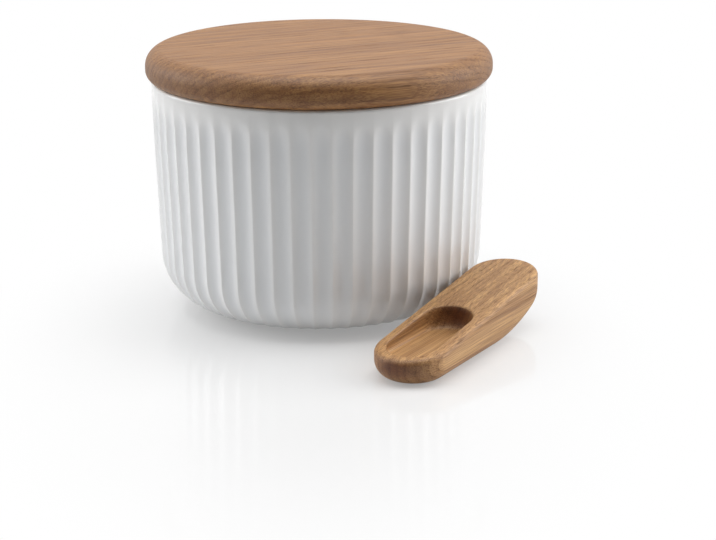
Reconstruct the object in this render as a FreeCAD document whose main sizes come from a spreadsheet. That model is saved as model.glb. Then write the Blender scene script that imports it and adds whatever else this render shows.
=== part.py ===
import FreeCAD, Part
import math
import os
import Sketcher

# A salt crock: a fluted, glazed porcelain jar, a turned oak lid that sits on the rim with a
# silicone ring round its spigot, and a small oak scoop that lies on the table beside the jar.
# Lengths are in millimetres and angles in degrees. The origin is on the jar's axis where the
# foot ring stands, +Z is up, and the scoop lies along Y with its bowl towards -Y.

SIZES = {
    # the jar's outside
    "rim_radius": 55.25,
    "jar_height": 76.0,
    "band_height": 15.5,
    "wall_lean": 1.87,
    "corner_radius": 17.0,
    "rim_round": 1.1,
    # the foot ring, set in under the corner
    "foot_height": 1.0,
    "foot_step": 0.9,
    "foot_width": 3.2,
    "foot_round": 0.35,
    # the salt well
    "wall": 4.0,
    "floor_thickness": 4.5,
    "well_corner": 13.0,
    # the flutes
    "flute_count": 54,
    "flute_depth": 0.95,
    "ridge_land": 0.5,
    "flute_start": 11.5,
    "flute_fade": 7.5,
    "first_flute": 3.02,
    "flute_exit": 0.15,
    # the lid
    "lid_radius": 57.0,
    "lid_thickness": 10.2,
    "lid_top_round": 5.6,
    "lid_edge_land": 1.2,
    "spigot_depth": 6.5,
    "spigot_clearance": 1.3,
    "spigot_chamfer": 0.8,
    # the sealing ring in the spigot's groove
    "gasket_land": 1.1,
    "gasket_height": 3.0,
    "gasket_inset": 2.0,
    "gasket_clearance": 0.3,
    "gasket_lip": 1.2,
    # the scoop
    "scoop_length": 81.5,
    "scoop_width": 23.2,
    "scoop_tip_height": 8.2,
    "scoop_end_height": 18.8,
    "handle_length": 34.5,
    "handle_end": 7.6,
    "scoop_top_round": 1.7,
    "scoop_edge_land": 1.1,
    "bowl_margin": 3.6,
    "bowl_length": 36.5,
    "bowl_lip": 1.9,
    "bowl_draft": 8.0,
    "bowl_round": 2.0,
    # where the scoop lies
    "scoop_gap": 0.6,
    "scoop_past": 17.1,
    # how far every cut runs past the solid
    "overrun": 2.0,
}

# Sizes that follow from those above.
DERIVED = {
    "well_radius": "=rim_radius - wall",
    "bend_height": "=jar_height - band_height",
    "corner_height": "=foot_height + corner_radius",
    "hip_height": "=corner_height - corner_radius * sin(wall_lean * 1 deg)",
    "hip_radius": "=rim_radius - (bend_height - hip_height) * tan(wall_lean * 1 deg)",
    "corner_centre": "=hip_radius - corner_radius * cos(wall_lean * 1 deg)",
    "well_floor": "=foot_height + floor_thickness",
    "well_corner_height": "=well_floor + well_corner",
    "well_low_radius": "=hip_radius - wall",
    "well_flat": "=well_low_radius - well_corner",
    "well_top": "=jar_height + overrun",
    "flute_pitch": "=2 * pi * rim_radius / flute_count",
    "flute_chord": "=flute_pitch - ridge_land",
    "flute_radius": "=(flute_chord ^ 2 / 4 + flute_depth ^ 2) / (2 * flute_depth)",
    "flute_turn": "=corner_radius + flute_exit",
    "flute_hip": "=hip_radius - flute_depth",
    "flute_wall": "=rim_radius - flute_depth",
    "flute_top": "=jar_height - flute_start",
    "fade_rise": "=flute_depth + flute_exit",
    "fade_sweep": "=(flute_fade ^ 2 + fade_rise ^ 2) / (2 * fade_rise)",
    "flute_end_radius": "=flute_wall + fade_rise",
    "flute_end_height": "=flute_top + flute_fade",
    "flute_low_radius": "=flute_hip - flute_turn * cos(wall_lean * 1 deg)",
    "flute_low_height": "=hip_height + flute_turn * sin(wall_lean * 1 deg) - flute_turn",
    "foot_radius": "=flute_low_radius - foot_step",
    "foot_inner": "=foot_radius - foot_width",
    "flute_mouth": "=flute_depth + overrun",
    "flute_mouth_height": "=flute_low_height - flute_mouth",
    "flute_mouth_half": "=sqrt(flute_radius ^ 2 - (flute_radius - flute_mouth) ^ 2)",
    "lid_under_round": "=lid_thickness - lid_top_round - lid_edge_land",
    "spigot_radius": "=well_radius - spigot_clearance",
    "spigot_nose": "=spigot_radius - spigot_chamfer",
    "spigot_edge": "=spigot_depth - spigot_chamfer",
    "groove_radius": "=spigot_radius - gasket_inset",
    "groove_mouth": "=spigot_radius + overrun",
    "gasket_low": "=spigot_edge - gasket_land",
    "gasket_drop": "=gasket_low - gasket_height",
    "lip_radius": "=well_radius - gasket_clearance",
    "lip_high": "=gasket_drop + (gasket_height - gasket_lip) / 2",
    "lip_low": "=lip_high + gasket_lip",
    "scoop_half": "=scoop_width / 2",
    "scoop_end_centre": "=scoop_length - scoop_half",
    "scoop_reach": "=scoop_length - scoop_past",
    "scoop_flat": "=scoop_length - handle_length",
    "scoop_under_round": "=scoop_tip_height - scoop_top_round - scoop_edge_land",
    "handle_rise": "=scoop_end_height - handle_end",
    "handle_sweep": "=(handle_length ^ 2 + handle_rise ^ 2) / (2 * handle_rise)",
    "scoop_blank": "=scoop_end_height + overrun",
    "scoop_far": "=scoop_length + overrun",
    "scoop_slope": "=(scoop_end_height - scoop_tip_height) / scoop_length",
    "top_near_height": "=scoop_tip_height - scoop_slope * overrun",
    "top_far_height": "=scoop_end_height + scoop_slope * overrun",
    "top_clear_height": "=scoop_blank + overrun",
    "handle_lift": "=handle_sweep - sqrt(handle_sweep ^ 2 - (scoop_far - scoop_flat) ^ 2)",
    "bowl_half": "=scoop_half - bowl_margin",
    "bowl_floor": "=scoop_tip_height - bowl_lip",
    "bowl_back": "=bowl_margin + bowl_length",
    "bowl_back_centre": "=bowl_back - bowl_half",
    "side_height": "=scoop_tip_height + scoop_slope * scoop_reach - scoop_top_round",
    "side_touch": "=corner_radius + scoop_top_round + scoop_gap",
    "side_run": "=sqrt(side_touch ^ 2 - (corner_height - side_height) ^ 2)",
    "scoop_aside": "=corner_centre + side_run + scoop_half - scoop_top_round",
}

TOUCH = 1e-6

doc = FreeCAD.newDocument("salt_crock")
sheet = doc.addObject("Spreadsheet::Sheet", "dim")
for row, (alias, value) in enumerate({**SIZES, **DERIVED}.items(), start=1):
    sheet.set(f"A{row}", alias)
    sheet.set(f"B{row}", str(value))
    sheet.setAlias(f"B{row}", alias)
doc.recompute()


def number(size):
    """The value of a named size, or of its negative."""
    if size == "0":
        return 0.0
    return -float(getattr(sheet, size[1:])) if size[0] == "-" else float(getattr(sheet, size))


def bind(target, path, size):
    """Tie a property to a named size, or to its negative."""
    target.setExpression(path, "-dim." + size[1:] if size[0] == "-" else "dim." + size)


def new_body(label):
    """An empty sub-part under its own name."""
    body = doc.addObject("PartDesign::Body", label)
    body.Label = label
    return body


def origin_of(body, role):
    """One of a body's own origin planes or axes."""
    return next(item for item in body.Origin.OriginFeatures if item.Role == role)


def arc_between(start, end, radius, turn):
    """An arc under a half circle from start to end that turns left (1) or right (-1)."""
    along = end - start
    left = FreeCAD.Vector(-along.y, along.x, 0).normalize()
    rise = math.sqrt(radius ** 2 - (along.Length / 2) ** 2)
    centre = (start + end) / 2 + left * rise * turn
    first, last = (start, end) if turn > 0 else (end, start)
    angles = [math.atan2(spot.y - centre.y, spot.x - centre.x) for spot in (first, last)]
    return Part.ArcOfCircle(Part.Circle(centre, FreeCAD.Vector(0, 0, 1), radius), *angles)


def pin(sketch, place, across, up):
    """Hold a sketch point at two named sizes from the sketch's origin."""
    for kind, axis, size in (("DistanceX", -2, across), ("DistanceY", -1, up)):
        if size == "0":
            sketch.addConstraint(Sketcher.Constraint("PointOnObject", *place, axis))
        else:
            index = sketch.addConstraint(Sketcher.Constraint(kind, -1, 1, *place, number(size)))
            bind(sketch, f"Constraints[{index}]", size)


def outline(body, role, name, corners, closed=True, offset=None):
    """A sketch on an origin plane through corners, each (across, up) or (across, up, radius, turn).

    A corner with a radius starts an arc, and one without starts a straight line.
    """
    sketch = body.newObject("Sketcher::SketchObject", name)
    sketch.AttachmentSupport = [(origin_of(body, role), "")]
    sketch.MapMode = "FlatFace"
    if offset:
        bind(sketch, "AttachmentOffset.Base.z", offset)
    spots = [FreeCAD.Vector(number(corner[0]), number(corner[1]), 0) for corner in corners]
    edges = len(corners) if closed else len(corners) - 1
    starts, ends = [], []
    for index in range(edges):
        start, end = spots[index], spots[(index + 1) % len(spots)]
        radius, turn = corners[index][2:] or (None, 1)
        if radius is None:
            sketch.addGeometry(Part.LineSegment(start, end))
        else:
            sketch.addGeometry(arc_between(start, end, number(radius), turn))
            held = sketch.addConstraint(Sketcher.Constraint("Radius", index, number(radius)))
            bind(sketch, f"Constraints[{held}]", radius)
        starts.append((index, 1 if turn > 0 else 2))
        ends.append((index, 2 if turn > 0 else 1))
    for index in range(edges):
        pin(sketch, starts[index], *corners[index][:2])
        if closed or index + 1 < edges:
            following = starts[(index + 1) % edges]
            sketch.addConstraint(Sketcher.Constraint("Coincident", *ends[index], *following))
    if not closed:
        pin(sketch, ends[-1], *corners[-1][:2])
    return sketch


def feature(body, kind, name, profile, **settings):
    """A feature made from a sketch, with its plain settings."""
    made = body.newObject("PartDesign::" + kind, name)
    made.Profile = profile
    for key, value in settings.items():
        setattr(made, key, value)
    return made


def turned(body, kind, name, profile):
    """A profile turned once round the body's Z axis, added or cut away."""
    return feature(body, kind, name, profile, ReferenceAxis=(profile, ["V_Axis"]), Angle=360.0)


def round_edges(body, name, radius, chosen):
    """A fillet on those edges of the body so far that the test picks."""
    doc.recompute()
    base = body.Tip
    names = [f"Edge{i}" for i, edge in enumerate(base.Shape.Edges, start=1) if chosen(edge)]
    fillet = body.newObject("PartDesign::Fillet", name)
    fillet.Base = (base, names)
    bind(fillet, "Radius", radius)
    return fillet


def level_at(size):
    """A test for edges that lie flat at a named height."""
    height = number(size)
    return lambda edge: max(abs(edge.BoundBox.ZMin - height), abs(edge.BoundBox.ZMax - height)) < TOUCH


def ring_at(radius, height):
    """A test for a ring of a named radius at a named height."""
    level, reach = level_at(height), number(radius)
    return lambda edge: level(edge) and abs(edge.BoundBox.XMax - reach) < TOUCH


def along_side(height_at):
    """A test for edges that run along the scoop at a height given by the place along it."""
    def chosen(edge):
        spots = [corner.Point for corner in edge.Vertexes]
        held = all(abs(spot.z - height_at(spot.y)) < TOUCH for spot in spots)
        return held and edge.BoundBox.YLength > TOUCH
    return chosen


def top_at(along):
    """The height of the scoop's planed top."""
    return number("scoop_tip_height") + number("scoop_slope") * along


def underside_at(along):
    """The height of the scoop's underside, flat and then swept up."""
    past = max(along - number("scoop_flat"), 0.0)
    return number("handle_sweep") - math.sqrt(number("handle_sweep") ** 2 - past ** 2)


# The jar, thrown as one solid of revolution with its foot, rounded corner and leaning wall.
jar = new_body("crock")
jar_side = outline(jar, "XZ_Plane", "jar_side", [
    ("0", "0"),
    ("foot_radius", "0"),
    ("foot_radius", "foot_height"),
    ("corner_centre", "foot_height", "corner_radius", 1),
    ("hip_radius", "hip_height"),
    ("rim_radius", "bend_height"),
    ("rim_radius", "jar_height"),
    ("0", "jar_height"),
])
turned(jar, "Revolution", "jar_blank", jar_side)

# The salt well, the hollow inside the foot ring, and the rounded rim and foot.
well_side = outline(jar, "XZ_Plane", "well_side", [
    ("0", "well_floor"),
    ("well_flat", "well_floor", "well_corner", 1),
    ("well_low_radius", "well_corner_height"),
    ("well_radius", "bend_height"),
    ("well_radius", "well_top"),
    ("0", "well_top"),
])
turned(jar, "Groove", "salt_well", well_side)
foot_side = outline(jar, "XZ_Plane", "foot_side", [
    ("0", "-overrun"),
    ("foot_inner", "-overrun"),
    ("foot_inner", "foot_height"),
    ("0", "foot_height"),
])
turned(jar, "Groove", "foot_hollow", foot_side)
round_edges(jar, "rim_rounds", "rim_round", level_at("jar_height"))
round_edges(jar, "foot_rounds", "foot_round", level_at("0"))

# One flute runs down the wall just inside the surface, fades out of it above, and leaves it under the corner.
flute_path = outline(jar, "XZ_Plane", "flute_path", [
    ("flute_low_radius", "flute_low_height", "flute_turn", 1),
    ("flute_hip", "hip_height"),
    ("flute_wall", "bend_height"),
    ("flute_wall", "flute_top", "fade_sweep", -1),
    ("flute_end_radius", "flute_end_height"),
], closed=False)
flute_section = outline(jar, "YZ_Plane", "flute_section", [
    ("flute_mouth_half", "flute_mouth_height", "flute_radius", 1),
    ("-flute_mouth_half", "flute_mouth_height"),
], offset="flute_low_radius")
flute = feature(jar, "SubtractivePipe", "flute", flute_section, Transition="Right corner", Refine=False)
flute.Spine = (flute_path, [f"Edge{i}" for i in range(1, flute_path.GeometryCount + 1)])
flutes = jar.newObject("PartDesign::PolarPattern", "flutes")
flutes.Originals = [flute]
flutes.Axis = (origin_of(jar, "Z_Axis"), [""])
flutes.Angle = 360.0
flutes.Refine = False
bind(flutes, "Occurrences", "flute_count")
jar.Tip = flutes
bind(jar, "Placement.Rotation.Angle", "first_flute")

# The lid, turned from one oak board: the disc rests on the rim and its spigot hangs in the well.
lid = new_body("lid")
lid_side = outline(lid, "XZ_Plane", "lid_side", [
    ("0", "-spigot_depth"),
    ("spigot_nose", "-spigot_depth"),
    ("spigot_radius", "-spigot_edge"),
    ("spigot_radius", "0"),
    ("lid_radius", "0"),
    ("lid_radius", "lid_thickness"),
    ("0", "lid_thickness"),
])
turned(lid, "Revolution", "lid_blank", lid_side)
groove_side = outline(lid, "XZ_Plane", "groove_side", [
    ("groove_radius", "-gasket_low"),
    ("groove_mouth", "-gasket_low"),
    ("groove_mouth", "-gasket_drop"),
    ("groove_radius", "-gasket_drop"),
])
turned(lid, "Groove", "gasket_groove", groove_side)
round_edges(lid, "top_round", "lid_top_round", ring_at("lid_radius", "lid_thickness"))
round_edges(lid, "under_round", "lid_under_round", ring_at("lid_radius", "0"))
bind(lid, "Placement.Base.z", "jar_height")

# The silicone ring fills the groove, and its lip stands out towards the wall of the well.
gasket = new_body("lid_gasket")
gasket_side = outline(gasket, "XZ_Plane", "gasket_side", [
    ("groove_radius", "-gasket_low"),
    ("spigot_radius", "-gasket_low"),
    ("lip_radius", "-lip_low"),
    ("lip_radius", "-lip_high"),
    ("spigot_radius", "-gasket_drop"),
    ("groove_radius", "-gasket_drop"),
])
turned(gasket, "Revolution", "gasket_ring", gasket_side)
bind(gasket, "Placement.Base.z", "jar_height")

# The scoop starts as a round-ended oak blank, standing on its flat underside with its tip at the origin.
scoop = new_body("scoop")
scoop_plan = outline(scoop, "XY_Plane", "scoop_plan", [
    ("0", "0", "scoop_half", 1),
    ("scoop_half", "scoop_half"),
    ("scoop_half", "scoop_end_centre", "scoop_half", 1),
    ("0", "scoop_length", "scoop_half", 1),
    ("-scoop_half", "scoop_end_centre"),
    ("-scoop_half", "scoop_half", "scoop_half", 1),
])
blank = feature(scoop, "Pad", "scoop_blank", scoop_plan)
bind(blank, "Length", "scoop_blank")

# Its top is planed to rise towards the handle, and the handle's underside sweeps up from the table.
top_side = outline(scoop, "YZ_Plane", "top_side", [
    ("-overrun", "top_near_height"),
    ("scoop_far", "top_far_height"),
    ("scoop_far", "top_clear_height"),
    ("-overrun", "top_clear_height"),
])
feature(scoop, "Pocket", "planed_top", top_side, Type="ThroughAll", Midplane=True)
sweep_side = outline(scoop, "YZ_Plane", "sweep_side", [
    ("scoop_flat", "-overrun"),
    ("scoop_far", "-overrun"),
    ("scoop_far", "handle_lift", "handle_sweep", -1),
    ("scoop_flat", "0"),
])
feature(scoop, "Pocket", "swept_handle", sweep_side, Type="ThroughAll", Midplane=True)
round_edges(scoop, "top_rounds", "scoop_top_round", along_side(top_at))
round_edges(scoop, "under_rounds", "scoop_under_round", along_side(underside_at))

# The bowl is routed level with the table, so it is deepest at its back, under the handle.
bowl_plan = outline(scoop, "XY_Plane", "bowl_plan", [
    ("0", "bowl_margin", "bowl_half", 1),
    ("bowl_half", "scoop_half"),
    ("bowl_half", "bowl_back_centre", "bowl_half", 1),
    ("0", "bowl_back", "bowl_half", 1),
    ("-bowl_half", "bowl_back_centre"),
    ("-bowl_half", "scoop_half", "bowl_half", 1),
], offset="bowl_floor")
bowl = feature(scoop, "Pocket", "bowl", bowl_plan, Reversed=True)
bind(bowl, "Length", "scoop_blank")
bind(bowl, "TaperAngle", "bowl_draft")
round_edges(scoop, "bowl_rounds", "bowl_round", level_at("bowl_floor"))
bind(scoop, "Placement.Base.x", "scoop_aside")
bind(scoop, "Placement.Base.y", "-scoop_reach")

doc.recompute()

faults = [item.Name for item in doc.Objects if {"Invalid", "Error"} & set(item.State)]
if faults:
    raise RuntimeError("failed features: " + ", ".join(faults))
sub_parts = [jar, lid, gasket, scoop]
for body in sub_parts:
    if body.Shape.isNull() or not body.Shape.isValid() or len(body.Shape.Solids) != 1:
        raise RuntimeError(f"{body.Label} is not one valid solid")
os.makedirs("parts", exist_ok=True)
for body in sub_parts:
    body.Shape.exportStep(f"parts/{body.Label}.step")
    print(f"{body.Label}: {body.Shape.Volume / 1000:.1f} cm3")
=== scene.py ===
# A fluted porcelain salt crock with an oak lid on a silicone ring, and an oak scoop lying beside it.
# Each piece is made in its place in the CAD frame, in metres, in the order in which it is put together:
# the crock, the ring, the lid and the scoop, and then the white table, the lights and the camera.
import math

import bmesh
import bpy
from mathutils import Matrix, Vector


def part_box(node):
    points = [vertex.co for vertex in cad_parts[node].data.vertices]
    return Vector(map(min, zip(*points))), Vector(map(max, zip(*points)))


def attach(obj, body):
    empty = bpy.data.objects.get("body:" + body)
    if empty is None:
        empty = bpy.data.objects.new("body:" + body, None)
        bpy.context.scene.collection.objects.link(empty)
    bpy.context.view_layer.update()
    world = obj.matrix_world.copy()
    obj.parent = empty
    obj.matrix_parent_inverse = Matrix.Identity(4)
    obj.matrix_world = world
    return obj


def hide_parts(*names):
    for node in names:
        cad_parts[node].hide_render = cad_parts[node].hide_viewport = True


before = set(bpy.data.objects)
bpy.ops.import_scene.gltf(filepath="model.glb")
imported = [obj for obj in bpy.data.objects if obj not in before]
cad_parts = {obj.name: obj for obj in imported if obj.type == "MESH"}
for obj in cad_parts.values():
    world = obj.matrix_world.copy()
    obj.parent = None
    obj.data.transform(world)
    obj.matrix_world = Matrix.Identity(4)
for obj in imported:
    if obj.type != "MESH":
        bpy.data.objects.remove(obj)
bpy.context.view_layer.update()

# The crock: a round jar of white porcelain, cast in one piece with its foot ring and glazed inside and out.
# Round-bottomed flutes run down its wall, fade out under the plain rim and run out under the lower corner.
# Its sizes are in millimetres.
mm = 0.001


def half_section(corners):
    """The points of a half section. A corner is (radius, height, rounding, steps to the next corner)."""
    piece_turn, full_rounding, fewest_pieces = math.radians(3.4), 8, 4
    spots = [Vector(corner[:2]) for corner in corners]
    stretches = []
    for index, (_, _, rounding, _) in enumerate(corners):
        here = spots[index]
        if not rounding or index in (0, len(spots) - 1):
            stretches.append([here])
            continue
        before = (spots[index - 1] - here).normalized()
        after = (spots[index + 1] - here).normalized()
        half = before.angle(after) / 2
        centre = here + (before + after).normalized() * rounding / math.sin(half)
        start = here + before * rounding / math.tan(half) - centre
        turn = start.angle_signed(here + after * rounding / math.tan(half) - centre)
        pieces = math.ceil(abs(turn) / piece_turn * min(1, rounding / full_rounding) ** 0.5)
        pieces = max(fewest_pieces, pieces)
        stretches.append([centre + Matrix.Rotation(-turn * i / pieces, 2) @ start for i in range(pieces + 1)])
    points = []
    for stretch, corner, following in zip(stretches, corners, stretches[1:] + [None]):
        points += stretch
        if following:
            points += [stretch[-1].lerp(following[0], i / corner[3]) for i in range(1, corner[3])]
    return points


# The section runs from the middle of the underside, up the outside, over the rim and down to the well's floor.
rim, rim_top, wall, bend, floor_top = 55.25, 76, 4.0, 60.5, 5.5
well = rim - wall
lean = math.tan(math.radians(1.87))
foot, foot_inside, foot_outside, foot_round, sole_round = 1.0, 31.65, 34.85, 0.45, 0.35
corner_round, bend_round, rim_round, well_round = 17, 400, 1.1, 13
section = half_section([
    (0, foot, 0, 4),
    (foot_inside, foot, foot_round, 1),
    (foot_inside, 0, sole_round, 2),
    (foot_outside, 0, sole_round, 1),
    (foot_outside, foot, foot_round, 1),
    (rim - (bend - foot) * lean, foot, corner_round, 5),
    (rim, bend, bend_round, 22),
    (rim, rim_top, rim_round, 2),
    (well, rim_top, rim_round, 4),
    (well, bend, bend_round, 5),
    (well - (bend - floor_top) * lean, floor_top, well_round, 4),
    (0, floor_top, 0, 1),
])

# A flute is at its full depth on the wall. It fades out in a long curve above, and leaves the surface below
# where the corner has turned to its centre. A ring with no flute has a depth far outside the surface.
flutes, land, first_flute = 54, 0.5, math.radians(3.02)
flute_depth, flute_top, fade_sweep = 0.95, 63.2, 26.1
corner_centre, corner_top, lead, past_end, unfluted = 36.85, 17.4, 0.1, 0.15, -3
top_ring = max(range(len(section)), key=lambda i: section[i].y)
depths, facings = [], []
for index, spot in enumerate(section):
    along = section[min(index + 1, len(section) - 1)] - section[max(index - 1, 0)]
    facings.append(Vector((along.y, 0, -along.x)).normalized())
    turned = min(1, (spot.x - corner_centre) / corner_round) if spot.y < corner_top else 1
    faded = max(0, spot.y - flute_top) ** 2 / (2 * fade_sweep)
    is_fluted = index < top_ring and spot.x > corner_centre - lead
    depths.append((flute_depth + past_end) * turned - past_end - faded if is_fluted else unfluted)


def section_blank(name, section, depths):
    """An object whose edges are a half section, with the flutes' depth at each of its points."""
    mesh = bpy.data.meshes.new(name)
    edges = [(i, i + 1) for i in range(len(section) - 1)]
    mesh.from_pydata([(spot.x * mm, 0, spot.y * mm) for spot in section], edges, [])
    mesh.attributes.new("depth", "FLOAT", "POINT").data.foreach_set("value", [depth * mm for depth in depths])
    made = bpy.data.objects.new(name, mesh)
    bpy.context.scene.collection.objects.link(made)
    return made


crock_blank = section_blank("crock_section", section, depths)
facing = crock_blank.data.attributes.new("facing", "FLOAT_VECTOR", "POINT")
facing.data.foreach_set("vector", [part for direction in facings for part in direction])


def add(tree, kind, inputs=(), out=0, **settings):
    """A node, whose kind may be followed by its operation, with its inputs set or linked; returns an output."""
    kind, _, operation = kind.partition(" ")
    made = tree.nodes.new(kind)
    if operation:
        made.operation = operation
    for name, value in settings.items():
        setattr(made, name, value)
    for key, value in inputs.items() if isinstance(inputs, dict) else enumerate(inputs):
        if isinstance(value, bpy.types.NodeSocket):
            tree.links.new(value, made.inputs[key])
        elif value is not None:
            made.inputs[key].default_value = value
    return made.outputs[out] if len(made.outputs) else made


# The rule that turns a half section round Z and hollows it with flutes. Its columns crowd at the ridges.
turning = bpy.data.node_groups.new("turned piece", "GeometryNodeTree")
for name, kind, way in (
    ("Section", "NodeSocketGeometry", "INPUT"),
    ("Flutes", "NodeSocketInt", "INPUT"),
    ("Steps", "NodeSocketInt", "INPUT"),
    ("Flute radius", "NodeSocketFloat", "INPUT"),
    ("Ridge softness", "NodeSocketFloat", "INPUT"),
    ("Crowding", "NodeSocketFloat", "INPUT"),
    ("First flute", "NodeSocketFloat", "INPUT"),
    ("Material", "NodeSocketMaterial", "INPUT"),
    ("Piece", "NodeSocketGeometry", "OUTPUT"),
):
    turning.interface.new_socket(name, in_out=way, socket_type=kind)
given = turning.nodes.new("NodeGroupInput").outputs
full_turn, half_share, rounding_slack, closing_gap = 2 * math.pi, 0.5, 0.0001, 0.002 * mm

# Which ring and which column a point of the grid belongs to, and how far across its flute it lies.
rings = add(turning, "GeometryNodeAttributeDomainSize", (given["Section"],))
place = add(turning, "GeometryNodeInputIndex")
ring = add(turning, "ShaderNodeMath MODULO", (place, rings))
column = add(turning, "ShaderNodeMath ADD", (place, half_share))
column = add(turning, "ShaderNodeMath DIVIDE", (column, rings))
column = add(turning, "ShaderNodeMath FLOOR", (column,))
column = add(turning, "ShaderNodeMath DIVIDE", (column, given["Steps"]))
flute = add(turning, "ShaderNodeMath ADD", (column, rounding_slack))
flute = add(turning, "ShaderNodeMath FLOOR", (flute,))
share = add(turning, "ShaderNodeMath SUBTRACT", (column, flute))
swing = add(turning, "ShaderNodeMath MULTIPLY", (share, full_turn))
swing = add(turning, "ShaderNodeMath SINE", (swing,))
crowding = add(turning, "ShaderNodeMath DIVIDE", (given["Crowding"], full_turn))
swing = add(turning, "ShaderNodeMath MULTIPLY", (swing, crowding))
share = add(turning, "ShaderNodeMath SUBTRACT", (share, swing))
share = add(turning, "ShaderNodeMath SUBTRACT", (share, half_share))
pitch = add(turning, "ShaderNodeMath DIVIDE", (full_turn, given["Flutes"]))
angle = add(turning, "ShaderNodeMath ADD", (flute, share))
angle = add(turning, "ShaderNodeMath MULTIPLY", (angle, pitch))
angle = add(turning, "ShaderNodeMath ADD", (angle, given["First flute"]))

# What the section says of that ring.
spot = add(turning, "GeometryNodeInputPosition")
spot = add(turning, "GeometryNodeSampleIndex", (given["Section"], spot, ring), data_type="FLOAT_VECTOR")
spot = add(turning, "ShaderNodeSeparateXYZ", (spot,)).node.outputs
outward = add(turning, "GeometryNodeInputNamedAttribute", {"Name": "facing"}, data_type="FLOAT_VECTOR")
outward = add(turning, "GeometryNodeSampleIndex", (given["Section"], outward, ring), data_type="FLOAT_VECTOR")
outward = add(turning, "ShaderNodeSeparateXYZ", (outward,)).node.outputs
depth = add(turning, "GeometryNodeInputNamedAttribute", {"Name": "depth"}, data_type="FLOAT")
depth = add(turning, "GeometryNodeSampleIndex", (given["Section"], depth, ring), data_type="FLOAT")

# How deep the round flute lies there, with the ridge beside it softened.
across = add(turning, "ShaderNodeMath MULTIPLY", (share, pitch))
across = add(turning, "ShaderNodeMath MULTIPLY", (spot["X"], across))
across = add(turning, "ShaderNodeMath POWER", (across, 2.0))
reach = add(turning, "ShaderNodeMath POWER", (given["Flute radius"], 2.0))
reach = add(turning, "ShaderNodeMath SUBTRACT", (reach, across))
reach = add(turning, "ShaderNodeMath MAXIMUM", (reach, 0.0))
reach = add(turning, "ShaderNodeMath SQRT", (reach,))
reach = add(turning, "ShaderNodeMath SUBTRACT", (reach, given["Flute radius"]))
reach = add(turning, "ShaderNodeMath ADD", (reach, depth))
soft = add(turning, "ShaderNodeMath POWER", (given["Ridge softness"], 2.0))
square = add(turning, "ShaderNodeMath POWER", (reach, 2.0))
soft = add(turning, "ShaderNodeMath ADD", (square, soft))
soft = add(turning, "ShaderNodeMath SQRT", (soft,))
cut = add(turning, "ShaderNodeMath ADD", (reach, soft))
cut = add(turning, "ShaderNodeMath MULTIPLY", (cut, half_share))

# The grid, wrapped round the axis with its points moved in by the cut, and closed at its seam and poles.
inward = add(turning, "ShaderNodeMath MULTIPLY", (outward["X"], cut))
radius = add(turning, "ShaderNodeMath SUBTRACT", (spot["X"], inward))
sunk = add(turning, "ShaderNodeMath MULTIPLY", (outward["Z"], cut))
level = add(turning, "ShaderNodeMath SUBTRACT", (spot["Z"], sunk))
east = add(turning, "ShaderNodeMath COSINE", (angle,))
east = add(turning, "ShaderNodeMath MULTIPLY", (radius, east))
north = add(turning, "ShaderNodeMath SINE", (angle,))
north = add(turning, "ShaderNodeMath MULTIPLY", (radius, north))
moved = add(turning, "ShaderNodeCombineXYZ", (east, north, level))
columns = add(turning, "ShaderNodeMath MULTIPLY", (given["Flutes"], given["Steps"]))
columns = add(turning, "ShaderNodeMath ADD", (columns, 1.0))
skin = add(turning, "GeometryNodeMeshGrid", (1.0, 1.0, columns, rings))
skin = add(turning, "GeometryNodeStoreNamedAttribute", {"Geometry": skin, "Name": "hollow", "Value": cut},
           data_type="FLOAT", domain="POINT")
skin = add(turning, "GeometryNodeSetPosition", {"Geometry": skin, "Position": moved})
skin = add(turning, "GeometryNodeMergeByDistance", {"Geometry": skin, "Distance": closing_gap})
skin = add(turning, "GeometryNodeSetShadeSmooth", (skin,))
skin = add(turning, "GeometryNodeRealizeInstances", (skin,))
skin = add(turning, "GeometryNodeSetMaterial", {"Geometry": skin, "Material": given["Material"]})
turning.links.new(skin, turning.nodes.new("NodeGroupOutput").inputs["Piece"])


def turned_piece(name, blank, **settings):
    """The plain mesh object that the turning rule makes of a section."""
    rule = blank.modifiers.new("turning", "NODES")
    rule.node_group = turning
    for item in turning.interface.items_tree:
        if item.name in settings:
            rule[item.identifier] = settings[item.name]
    bpy.context.view_layer.update()
    mesh = bpy.data.meshes.new_from_object(blank.evaluated_get(bpy.context.evaluated_depsgraph_get()))
    bpy.data.objects.remove(blank)
    shape = bmesh.new()
    shape.from_mesh(mesh)
    bmesh.ops.recalc_face_normals(shape, faces=shape.faces)
    shape.to_mesh(mesh)
    shape.free()
    mesh.name = name
    made = bpy.data.objects.new(name, mesh)
    bpy.context.scene.collection.objects.link(made)
    return made


def colour(code):
    """A scene colour from an sRGB hex code."""
    parts = [int(code[i:i + 2], 16) / 255 for i in (0, 2, 4)]
    return [part / 12.92 if part < 0.04045 else ((part + 0.055) / 1.055) ** 2.4 for part in parts] + [1.0]


# Glazed porcelain: a white body under a clear glaze of soft gloss, which waves a little every 7 mm or so and
# looks cooler where it pools in the flutes. The sole of the foot ring is bare, dull and creamy, with a fine
# grit. A Mix node's two colours and its mixed colour go by their places among its sockets.
glaze = bpy.data.materials.new("glazed porcelain")
glaze.use_nodes = True
tree = glaze.node_tree
shell = tree.nodes["Principled BSDF"].inputs
under, over, mixed = 6, 7, 2
glaze_rough, bare_rough, glaze_cover, glaze_gloss = 0.35, 0.85, 0.75, 0.16
bare_below, glazed_above = 0.12 * mm, 0.28 * mm
wave_length, wave_height, grit_size, grit_height = 6.667 * mm, 0.04 * mm, 0.25 * mm, 0.03 * mm
where = add(tree, "ShaderNodeTexCoord", out="Object")
bare = add(tree, "ShaderNodeSeparateXYZ", (where,), out="Z")
bare = add(tree, "ShaderNodeMapRange", {"Value": bare, "From Min": glazed_above, "From Max": bare_below},
           interpolation_type="SMOOTHSTEP")
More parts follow.
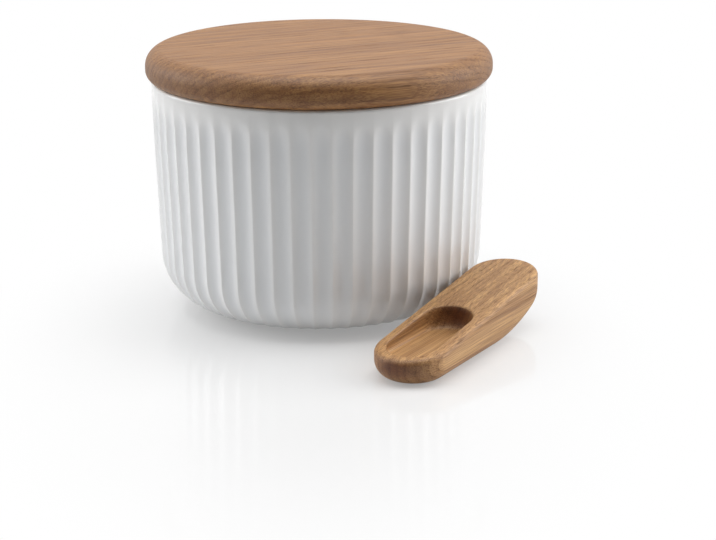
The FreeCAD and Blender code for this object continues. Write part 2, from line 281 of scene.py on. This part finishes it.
pooled = add(tree, "ShaderNodeAttribute", out="Fac", attribute_name="hollow")
pooled = add(tree, "ShaderNodeMapRange", {"Value": pooled, "From Max": flute_depth * mm})
body = colour("F1F1F0")
for share, tone in ((pooled, colour("EBEDEF")), (bare, colour("E6DFD3"))):
    body = add(tree, "ShaderNodeMix", {"Factor": share, under: body, over: tone}, out=mixed, data_type="RGBA")
rough = add(tree, "ShaderNodeMapRange", {"Value": bare, "To Min": glaze_rough, "To Max": bare_rough})
cover = add(tree, "ShaderNodeMapRange", {"Value": bare, "To Min": glaze_cover, "To Max": 0.0})
ripple = add(tree, "ShaderNodeTexNoise", {"Vector": where, "Scale": 1 / wave_length, "Detail": 2.0})
ripple = add(tree, "ShaderNodeBump", {"Strength": 1.0, "Distance": wave_height, "Height": ripple})
grit = add(tree, "ShaderNodeTexNoise", {"Vector": where, "Scale": 1 / grit_size, "Detail": 3.0})
grit = add(tree, "ShaderNodeBump", {"Strength": bare, "Distance": grit_height, "Height": grit})
tree.links.new(body, shell["Base Color"])
tree.links.new(rough, shell["Roughness"])
tree.links.new(grit, shell["Normal"])
tree.links.new(cover, shell["Coat Weight"])
tree.links.new(ripple, shell["Coat Normal"])
shell["Coat Roughness"].default_value = glaze_gloss

flute_chord = full_turn * rim / flutes - land
flute_radius = (flute_chord ** 2 / 4 + flute_depth ** 2) / (2 * flute_depth)
ridge_softness, crowding_share, columns_per_flute = 0.6, 0.55, 11
crock = turned_piece("crock_glazed", crock_blank, **{
    "Flutes": flutes, "Steps": columns_per_flute, "Crowding": crowding_share, "First flute": first_flute,
    "Flute radius": flute_radius * mm, "Ridge softness": ridge_softness * mm, "Material": glaze})
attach(crock, "crock")
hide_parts("crock")

# The lid's ring: a soft ring of pale silicone, moulded in one piece. It is stretched into the groove round
# the lid's spigot, and its blunt lip stands out towards the jar's wall.
groove, spigot, lip, ring_low, ring_high, ring_seam = 47.95, 49.95, 50.95, 71.4, 74.4, 48.95
lip_low, lip_high, lip_round, shoulder_round, heel_round = 72.3, 73.5, 0.5, 0.25, 0.2
section = half_section([
    (ring_seam, ring_low, 0, 2),
    (spigot, ring_low, shoulder_round, 1),
    (lip, lip_low, lip_round, 1),
    (lip, lip_high, lip_round, 1),
    (spigot, ring_high, shoulder_round, 2),
    (groove, ring_high, heel_round, 3),
    (groove, ring_low, heel_round, 2),
    (ring_seam, ring_low, 0, 1),
])
ring_blank = section_blank("ring_section", section, [unfluted] * len(section))

# Moulded silicone: pale, milky and matt, with light that goes a little way in, and a skin that is slightly
# uneven, at about 1 mm from bump to bump.
silicone = bpy.data.materials.new("moulded silicone")
silicone.use_nodes = True
tree = silicone.node_tree
rubber = tree.nodes["Principled BSDF"].inputs
rubber["Base Color"].default_value = colour("DEDEDA")
rubber["Roughness"].default_value = 0.42
rubber["Subsurface Weight"].default_value = 0.5
rubber["Subsurface Radius"].default_value = (1.5 * mm, 1.4 * mm, 1.2 * mm)
rubber["Subsurface Scale"].default_value = 1.0
skin_grain, skin_height = 1.111 * mm, 0.03 * mm
skin = add(tree, "ShaderNodeTexCoord", out="Object")
skin = add(tree, "ShaderNodeTexNoise", {"Vector": skin, "Scale": 1 / skin_grain, "Detail": 2.0})
skin = add(tree, "ShaderNodeBump", {"Strength": 0.5, "Distance": skin_height, "Height": skin})
tree.links.new(skin, rubber["Normal"])

plain_turning = {"Steps": 4, "Crowding": 0.0, "Ridge softness": 0.01 * mm, "Flute radius": 5 * mm}
lid_ring = turned_piece("lid_ring", ring_blank, **plain_turning, **{"Flutes": 48, "Material": silicone})
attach(lid_ring, "lid")
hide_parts("lid_gasket")

# The lid: a disc turned from one oak board, with a large round above and a smaller one below. It rests on the
# rim, and the spigot under it, with a groove for the ring, hangs in the jar's mouth.
lid_edge, lid_top, lid_under, top_round, under_round = 57, 86.2, rim_top, 5.6, 3.4
spigot_end, spigot_chamfer, chamfer_round, groove_round, neck_round = 69.5, 0.8, 0.4, 0.15, 0.5
section = half_section([
    (0, spigot_end, 0, 4),
    (spigot - spigot_chamfer, spigot_end, chamfer_round, 1),
    (spigot, spigot_end + spigot_chamfer, chamfer_round, 1),
    (spigot, ring_low, groove_round, 2),
    (groove, ring_low, groove_round, 2),
    (groove, ring_high, groove_round, 2),
    (spigot, ring_high, groove_round, 1),
    (spigot, lid_under, neck_round, 2),
    (lid_edge, lid_under, under_round, 2),
    (lid_edge, lid_top, top_round, 6),
    (0, lid_top, 0, 1),
])
lid_blank = section_blank("lid_section", section, [unfluted] * len(section))

# Oak as it grows, in millimetres with X along the grain and the pith on the X axis: yearly rings whose early
# wood is open with pores, rays that run out from the pith, fine fibres, and darker end grain. Real pores and
# fibres are finer than a pixel, so both are drawn coarser, about 0.3 mm wide, to show as lines.
oak = bpy.data.node_groups.new("oak", "ShaderNodeTree")
for name, kind, way in (
    ("Grain", "NodeSocketVector", "INPUT"),
    ("End", "NodeSocketFloat", "INPUT"),
    ("Painted brightening", "NodeSocketVector", "INPUT"),
    ("Colour", "NodeSocketColor", "OUTPUT"),
    ("Roughness", "NodeSocketFloat", "OUTPUT"),
    ("Height", "NodeSocketFloat", "OUTPUT"),
):
    oak.interface.new_socket(name, in_out=way, socket_type=kind)
given = oak.nodes.new("NodeGroupInput").outputs
spot = add(oak, "ShaderNodeSeparateXYZ", (given["Grain"],)).node.outputs

# Clouds drawn out along the grain, each with its size along and across it in millimetres, and its detail.
clouds = {}
for name, along, across, detail in (
    ("wander", 142.9, 33.33, 2.0),
    ("waver", 45.45, 4.545, 2.0),
    ("pores", 16.67, 0.2941, 1.0),
    ("specks", 7.143, 0.1538, 1.0),
    ("fibre", 22.22, 0.3125, 4.0),
    ("streak", 125.0, 2.941, 3.0),
):
    cloud = add(oak, "ShaderNodeVectorMath DIVIDE", (given["Grain"], (along, across, across)))
    clouds[name] = add(oak, "ShaderNodeTexNoise", {"Vector": cloud, "Scale": 1.0, "Detail": detail})

# The distance from the pith, which wanders by so many millimetres, and the yearly rings in it. They are about
# 2.3 mm wide, but not all alike: wider and narrower ones come in runs of about 6 mm.
year_width, year_run, year_spread, cloud_middle = 2.3, 6.25, 1.6, 0.5
out = add(oak, "ShaderNodeCombineXYZ", (0.0, spot["Y"], spot["Z"]))
out = add(oak, "ShaderNodeVectorMath LENGTH", (out,), out="Value")
for name, reach in (("wander", 6.0), ("waver", 0.9)):
    shift = add(oak, "ShaderNodeMath SUBTRACT", (clouds[name], cloud_middle))
    out = add(oak, "ShaderNodeMath MULTIPLY_ADD", (shift, reach, out))
years = add(oak, "ShaderNodeMath DIVIDE", (out, year_run))
years = add(oak, "ShaderNodeTexNoise", {"W": years, "Scale": 1.0, "Detail": 1.0}, noise_dimensions="1D")
years = add(oak, "ShaderNodeMath MULTIPLY", (years, year_spread))
years = add(oak, "ShaderNodeMath ADD", (add(oak, "ShaderNodeMath DIVIDE", (out, year_width)), years))
season = add(oak, "ShaderNodeMath FRACT", (years,))
year_tone = add(oak, "ShaderNodeMath FLOOR", (years,))
year_tone = add(oak, "ShaderNodeTexWhiteNoise", {"W": year_tone}, noise_dimensions="1D")

# The rays, sheets that stand out from the pith: about 13 mm tall along the grain, 22 mm long and, at 75 to a
# radian, 1 mm wide in the lid.
ray_tall, ray_long, rays_per_radian = 13.33, 22.22, 75.0
around = add(oak, "ShaderNodeMath ARCTAN2", (spot["Z"], spot["Y"]))
rays = add(oak, "ShaderNodeCombineXYZ", (spot["X"], out, around))
rays = add(oak, "ShaderNodeVectorMath DIVIDE", (rays, (ray_tall, ray_long, 1 / rays_per_radian)))
rays = add(oak, "ShaderNodeTexNoise", {"Vector": rays, "Scale": 1.0, "Detail": 1.0})

# Each of these as a smooth share between two of its values.
shares = {}
for name, value, low, high in (
    ("spring", season, 0.0, 0.07),
    ("summer", season, 0.62, 0.16),
    ("pores", clouds["pores"], 0.56, 0.66),
    ("specks", clouds["specks"], 0.60, 0.70),
    ("rays", rays, 0.63, 0.69),
    ("fibre", clouds["fibre"], 0.3, 0.7),
    ("streak", clouds["streak"], 0.35, 0.7),
):
    limits = {"Value": value, "From Min": low, "From Max": high}
    shares[name] = add(oak, "ShaderNodeMapRange", limits, interpolation_type="SMOOTHSTEP")
early = add(oak, "ShaderNodeMath MULTIPLY", (shares["spring"], shares["summer"]))
late_pores = 0.2
pores = add(oak, "ShaderNodeMath MULTIPLY_ADD", (early, 1 - late_pores, late_pores))
pores = add(oak, "ShaderNodeMath MULTIPLY", (shares["pores"], pores))

# The tones of the rings, streaks and pores, each laid over those before it at its strength.
wood = colour("AF7F4C")
for share, strength, tone in (
    (early, 0.85, colour("9B6C3A")),
    (year_tone, 0.35, colour("BB8E59")),
    (shares["streak"], 0.55, colour("805125")),
    (shares["specks"], 0.30, colour("704826")),
    (pores, 0.62, colour("613C1D")),
):
    share = add(oak, "ShaderNodeMath MULTIPLY", (share, strength))
    wood = add(oak, "ShaderNodeMix", {"Factor": share, under: wood, over: tone}, out=mixed, data_type="RGBA")

# Over them lie the rays, which are dark along the grain, and lighter and fainter on end grain. The fibres and
# the end grain darken all of it.
ray_strength, ray_loss = 0.42, -0.2
ray_share = add(oak, "ShaderNodeMath MULTIPLY_ADD", (given["End"], ray_loss, ray_strength))
ray_share = add(oak, "ShaderNodeMath MULTIPLY", (shares["rays"], ray_share))
ray_tone = {"Factor": given["End"], under: colour("7F542C"), over: colour("C49F74")}
ray_tone = add(oak, "ShaderNodeMix", ray_tone, out=mixed, data_type="RGBA")
fibre_tone = {"Factor": shares["fibre"], under: colour("C2B4A6"), over: colour("FFFFFF")}
fibre_tone = add(oak, "ShaderNodeMix", fibre_tone, out=mixed, data_type="RGBA")
for share, tone, blend in (
    (ray_share, ray_tone, "MIX"),
    (1.0, fibre_tone, "MULTIPLY"),
    (given["End"], colour("94704F"), "MULTIPLY"),
):
    layer = {"Factor": share, under: wood, over: tone}
    wood = add(oak, "ShaderNodeMix", layer, out=mixed, data_type="RGBA", blend_type=blend)
# Painted light: the colour is multiplied by the painted brightening, which makes it paler and whiter, as
# painted light and sheen.
wood = add(oak, "ShaderNodeVectorMath MULTIPLY", (wood, given["Painted brightening"]))

# Pores are duller than the wood round them and cut into it, and so do the specks, less deeply.
smooth_rough, fibre_rough, pore_rough = 0.46, 0.10, 0.25
rough = add(oak, "ShaderNodeMath MULTIPLY_ADD", (shares["fibre"], fibre_rough, smooth_rough))
rough = add(oak, "ShaderNodeMath MULTIPLY_ADD", (pores, pore_rough, rough))
relief = 0.0
for share, rise in ((pores, -1.0), (shares["specks"], -0.35), (clouds["fibre"], 0.35)):
    relief = add(oak, "ShaderNodeMath MULTIPLY_ADD", (share, rise, relief))
result = oak.nodes.new("NodeGroupOutput").inputs
oak.links.new(wood, result["Colour"])
oak.links.new(rough, result["Roughness"])
oak.links.new(relief, result["Height"])


def oak_material(name, grain_turn, pith, end_share, painted_brightening):
    """Sanded and oiled oak, which has a silky sheen. It is given the grain's turn about Z, the way from the
    pith in millimetres, how much the end grain darkens, and how much painted light and sheen make its colour
    paler and whiter (none on the lid)."""
    sheen, relief_share, relief_height = 0.55, 0.7, 0.07 * mm
    made = bpy.data.materials.new(name)
    made.use_nodes = True
    tree = made.node_tree
    board = tree.nodes["Principled BSDF"].inputs
    spots = add(tree, "ShaderNodeTexCoord").node.outputs
    grain = add(tree, "ShaderNodeVectorMath SCALE", {0: spots["Object"], "Scale": 1 / mm})
    grain = add(tree, "ShaderNodeMapping", {"Vector": grain, "Location": pith, "Rotation": (0, 0, -grain_turn)})
    along = (math.cos(grain_turn), math.sin(grain_turn), 0)
    end = add(tree, "ShaderNodeVectorMath DOT_PRODUCT", (spots["Normal"], along), out="Value")
    end = add(tree, "ShaderNodeMath ABSOLUTE", (end,))
    end = add(tree, "ShaderNodeMath POWER", (end, 2.0))
    end = add(tree, "ShaderNodeMath MULTIPLY", (end, end_share))
    look = add(tree, "ShaderNodeGroup", node_tree=oak).node
    tree.links.new(grain, look.inputs["Grain"])
    tree.links.new(end, look.inputs["End"])
    look.inputs["Painted brightening"].default_value = painted_brightening
    relief = {"Strength": relief_share, "Distance": relief_height, "Height": look.outputs["Height"]}
    tree.links.new(look.outputs["Colour"], board["Base Color"])
    tree.links.new(look.outputs["Roughness"], board["Roughness"])
    tree.links.new(add(tree, "ShaderNodeBump", relief), board["Normal"])
    board["Specular IOR Level"].default_value = sheen
    return made


lid_oak = oak_material("oiled oak of the lid", grain_turn=math.radians(57.55), pith=(40, 62, -30),
                       end_share=0.3, painted_brightening=(1.0, 1.0, 1.0))
lid = turned_piece("lid_board", lid_blank, **plain_turning, **{"Flutes": 72, "Material": lid_oak})
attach(lid, "lid")
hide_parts("lid")

# The scoop: one piece of oak, sawn and sanded to round ends, flat below and swept up under the handle. A
# bowl with a level floor is routed into its lower end. It lies loose on the table beside the jar.
# Y runs from the tip, and sizes are in millimetres.
low, high = (Vector(corner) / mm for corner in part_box("scoop"))
length, half = high.y - low.y, (high.x - low.x) / 2
tip_height, end_height = 8.2, 18.8
handle, handle_rise = 34.5, 11.2
flat = length - handle
sweep = (handle ** 2 + handle_rise ** 2) / (2 * handle_rise)
front, back = half, length - half
under_round, top_round, rim_round, rim_turn = 5.4, 1.7, 0.5, math.radians(75)
rim_half, rim_back, rim_stretch = 8.5, 33.4, 1.2
bowl_half, bowl_back, bowl_floor, bowl_fullness = 6.7, 30.6, 6.3, 0.7
quarter_turn = math.pi / 2


def top_at(y):
    """The height of the planed top."""
    return tip_height + (end_height - tip_height) * y / length


def under_at(y):
    """The height of the underside, flat and then swept up under the handle."""
    return sweep - math.sqrt(sweep ** 2 - max(0, y - flat) ** 2)


def ring_of(width, start, end, height_at):
    """One round-ended ring: its half width, the middles of its ends, and its height at each place."""
    ends, sides = 40, 56
    turns = [math.pi * i / ends for i in range(ends)]
    plan = [(-width * math.cos(turn), start - width * math.sin(turn)) for turn in turns]
    plan += [(width, start + (end - start) * i / sides) for i in range(sides)]
    plan += [(width * math.cos(turn), end + width * math.sin(turn)) for turn in turns]
    plan += [(-width, end + (start - end) * i / sides) for i in range(sides)]
    return [(x, y, height_at(y)) for x, y in plan]


# Rings from the middle of the underside, out and up round the edge, over the top and down into the bowl.
edge_steps, top_steps, rim_steps, wall_steps = 12, 5, 5, 16
under_widths, floor_widths = (0, 2, 4, 5.5, 6.5), (4.5, 3, 1.5, 0)
rings = [ring_of(width, front, back, under_at) for width in under_widths]
for i in range(edge_steps + 1):
    turn = quarter_turn * i / edge_steps
    rings.append(ring_of(half - under_round * (1 - math.sin(turn)), front, back,
                         lambda y: under_at(y) + under_round * (1 - math.cos(turn))))
for i in range(edge_steps + 1):
    turn = quarter_turn * i / edge_steps
    rings.append(ring_of(half - top_round * (1 - math.cos(turn)), front, back,
                         lambda y: top_at(y) - top_round * (1 - math.sin(turn))))
for i in range(1, top_steps + 1):
    share = i / top_steps
    rings.append(ring_of(half - top_round + (rim_half - half + top_round) * share, front,
                         back + (rim_back - back) * share, top_at))
for i in range(1, rim_steps + 1):
    turn = rim_turn * i / rim_steps
    edge_half = rim_half - rim_round * math.sin(turn)
    edge_back = rim_back - rim_stretch * rim_round * math.sin(turn)
    edge_drop = rim_round * (1 - math.cos(turn))
    rings.append(ring_of(edge_half, front, edge_back, lambda y: top_at(y) - edge_drop))
for i in range(1, wall_steps + 1):
    turn = quarter_turn * i / wall_steps
    share = 1 - max(0, math.cos(turn)) ** bowl_fullness
    sunk = math.sin(turn) ** bowl_fullness
    rings.append(ring_of(edge_half + (bowl_half - edge_half) * share, front,
                         edge_back + (bowl_back - edge_back) * share,
                         lambda y: (top_at(y) - edge_drop) + (bowl_floor - top_at(y) + edge_drop) * sunk))
rings += [ring_of(width, front, bowl_back, lambda y: bowl_floor) for width in floor_widths]

count = len(rings[0])
middle = (low.x + high.x) / 2
points = [((middle + x) * mm, (low.y + y) * mm, z * mm) for ring in rings for x, y, z in ring]
faces = []
for k in range(len(rings) - 1):
    for i in range(count):
        following = (i + 1) % count
        faces.append((k * count + i, k * count + following, (k + 1) * count + following, (k + 1) * count + i))
mesh = bpy.data.meshes.new("scoop_carved")
mesh.from_pydata(points, [], faces)
shape = bmesh.new()
shape.from_mesh(mesh)
bmesh.ops.remove_doubles(shape, verts=shape.verts, dist=closing_gap)
bmesh.ops.recalc_face_normals(shape, faces=shape.faces)
for face in shape.faces:
    face.smooth = True
shape.to_mesh(mesh)
shape.free()
scoop = bpy.data.objects.new("scoop_carved", mesh)
bpy.context.scene.collection.objects.link(scoop)
# Painted light: the scoop's oak is painted paler and whiter than the lid's, to stand in for light and sheen.
mesh.materials.append(oak_material("oiled oak of the scoop", grain_turn=quarter_turn, pith=(0, 84, -6),
                                   end_share=1.0, painted_brightening=(1.58, 1.84, 2.25)))
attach(scoop, "scoop")
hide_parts("scoop")

# The table: a flat board, sprayed with white gloss lacquer. The jar stands and the scoop lies loose on it, and
# the camera looks across it at a turn about Z.
camera_turn = math.radians(32.55)
around_z = Matrix.Rotation(camera_turn, 4, "Z")
table_half = 0.3
mesh = bpy.data.meshes.new("table")
mesh.from_pydata([(-table_half, -table_half, 0), (table_half, -table_half, 0), (table_half, table_half, 0),
                  (-table_half, table_half, 0)], [], [(0, 1, 2, 3)])
table = bpy.data.objects.new("table", mesh)
bpy.context.scene.collection.objects.link(table)

# White gloss lacquer: it keeps the pieces' soft shadow and a faint reflection of them, and to the camera it
# brightens away from them to the plain white of the background.
white = bpy.data.materials.new("white gloss lacquer")
white.use_nodes = True
tree = white.node_tree
lacquer = tree.nodes["Principled BSDF"].inputs
lacquer["Roughness"].default_value = 0.5
lacquer["Specular IOR Level"].default_value = 0.0
lacquer["Coat Weight"].default_value = 1.0
lacquer["Coat Roughness"].default_value = 0.09
ray = add(tree, "ShaderNodeLightPath").node.outputs
seen = add(tree, "ShaderNodeMath MAXIMUM", (ray["Is Camera Ray"], ray["Is Glossy Ray"]))
seen = add(tree, "ShaderNodeMath MAXIMUM", (seen, ray["Is Transmission Ray"]))
sheet = {"Factor": seen, under: colour("F6F6F6"), over: colour("E6E6E6")}
tree.links.new(add(tree, "ShaderNodeMix", sheet, out=mixed, data_type="RGBA"), lacquer["Base Color"])
shade_middle, shade_width, shade_near, shade_far, least_white = (0, -0.04, 0), 0.6, 0.05, 0.19, 0.28
away = add(tree, "ShaderNodeMapping", {
    "Vector": add(tree, "ShaderNodeTexCoord", out="Object"), "Location": around_z @ Vector(shade_middle),
    "Rotation": (0, 0, camera_turn), "Scale": (shade_width, 1, 1)}, vector_type="TEXTURE")
away = add(tree, "ShaderNodeVectorMath LENGTH", (away,), out="Value")
limits = {"Value": away, "From Min": shade_near, "From Max": shade_far, "To Min": least_white}
bright = add(tree, "ShaderNodeMapRange", limits, interpolation_type="SMOOTHSTEP")
bright = add(tree, "ShaderNodeMath MULTIPLY", (bright, seen))
glow = add(tree, "ShaderNodeEmission", {"Strength": 1.0})
paper = add(tree, "ShaderNodeMixShader", (bright, tree.nodes["Principled BSDF"].outputs[0], glow))
tree.links.new(paper, tree.nodes["Material Output"].inputs["Surface"])
mesh.materials.append(white)

# The lights: three soft boxes, to the left, to the right and above, set out as the camera sees them and
# aimed at the jar's middle. Each has its place and size in metres, and its power in watts.
aim_height = 0.04
for name, place, size, watts in (
    ("left box", (-0.9, 0.15, 0.40), (0.7, 0.7), 4.8),
    ("right box", (0.9, 0.10, 0.40), (0.7, 0.9), 6.6),
    ("top box", (0.0, 0.08, 1.0), (1.2, 0.8), 10.2),
):
    light = bpy.data.lights.new(name, "AREA")
    light.shape, light.size, light.size_y, light.energy = "RECTANGLE", size[0], size[1], watts
    lamp = bpy.data.objects.new(name, light)
    bpy.context.scene.collection.objects.link(lamp)
    aim = (Vector((0, 0, aim_height)) - Vector(place)).to_track_quat("-Z", "Y").to_matrix().to_4x4()
    lamp.matrix_world = around_z @ Matrix.Translation(place) @ aim

# The room: plain white behind the pieces, and darker behind the camera where gloss mirrors it, so that the
# glaze keeps its shape. Its own light on the pieces is only a little fill.
world = bpy.data.worlds.new("studio")
bpy.context.scene.world = world
world.use_nodes = True
tree = world.node_tree
tree.nodes.clear()
fill, dark_side, dark_until, white_from = 0.06, 0.25, -0.2, 0.6
ray = add(tree, "ShaderNodeLightPath").node.outputs
seen = add(tree, "ShaderNodeMath MAXIMUM", (ray["Is Camera Ray"], ray["Is Glossy Ray"]))
seen = add(tree, "ShaderNodeMath MAXIMUM", (seen, ray["Is Transmission Ray"]))
toward = add(tree, "ShaderNodeTexCoord", out="Generated")
ahead = around_z @ Vector((0, 1, 0))
toward = add(tree, "ShaderNodeVectorMath DOT_PRODUCT", (toward, ahead), out="Value")
limits = {"Value": toward, "From Min": dark_until, "From Max": white_from, "To Min": dark_side}
mirrored = add(tree, "ShaderNodeMapRange", limits)
plain = add(tree, "ShaderNodeMix", {"Factor": ray["Is Camera Ray"], "A": mirrored, "B": 1.0})
tone = add(tree, "ShaderNodeMix", {"Factor": seen, "A": fill, "B": plain})
sky = add(tree, "ShaderNodeBackground", {"Color": tone, "Strength": 1.0})
add(tree, "ShaderNodeOutputWorld", {"Surface": sky})

# The camera: a long lens, 0.6 m from the jar's axis and a little above it, where it stood for the photograph.
# Its yaw, pitch and roll are in radians.
lens = bpy.data.cameras.new("camera")
lens.sensor_width, lens.lens = 36.0, 92.67
lens.clip_start, lens.clip_end = 0.01, 20.0
camera = bpy.data.objects.new("camera", lens)
bpy.context.scene.collection.objects.link(camera)
bpy.context.scene.camera = camera
stand, yaw, pitch, roll = (0, -0.6, 0.19262), 0.02074, 0.29724, -0.00462
gaze = Vector((math.sin(yaw) * math.cos(pitch), math.cos(yaw) * math.cos(pitch), -math.sin(pitch)))
gaze = gaze.to_track_quat("-Z", "Y").to_matrix().to_4x4()
camera.matrix_world = around_z @ Matrix.Translation(stand) @ gaze @ Matrix.Rotation(roll, 4, "Z")
bpy.context.scene.view_settings.view_transform = "Standard"

bpy.context.view_layer.update()
